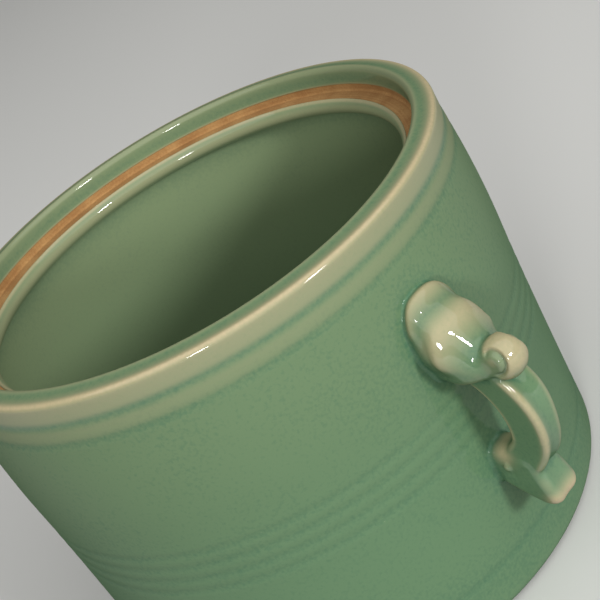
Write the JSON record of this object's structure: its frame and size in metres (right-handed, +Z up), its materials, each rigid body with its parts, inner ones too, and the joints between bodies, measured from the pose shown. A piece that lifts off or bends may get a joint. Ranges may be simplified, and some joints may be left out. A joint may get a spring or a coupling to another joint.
{
  "type": "brush holder pot",
  "caption": "Squat glazed stoneware pot with turned string lines, a rounded lip band, a bare clay lid seat inside the lip and one scroll handle.",
  "frame": {"origin": "on the pot's axis, at the plane that the foot ring stands on", "axes": "+Z up along the pot's axis, +X towards the handle, +Y completes the right-handed frame"},
  "size_m": [0.1291, 0.112, 0.0833],
  "materials": {
    "celadon_glaze": "thick sea-green glaze, satin on the wall and glossy on the lip and handle, thin and cream on raised edges, deeper in hollows",
    "bare_clay": "unglazed fired stoneware, orange-brown, fine and matt"
  },
  "bodies": {
    "root": {"wall": "celadon_glaze", "floor_disc": "celadon_glaze", "foot_ring": "bare_clay", "rim_collar": "celadon_glaze", "lid_ledge": "bare_clay", "ledge_bead": "celadon_glaze", "thumb_rest": "celadon_glaze", "scroll": "celadon_glaze", "handle_loop": "celadon_glaze", "handle_spur": "celadon_glaze"}
  },
  "joints": []
}
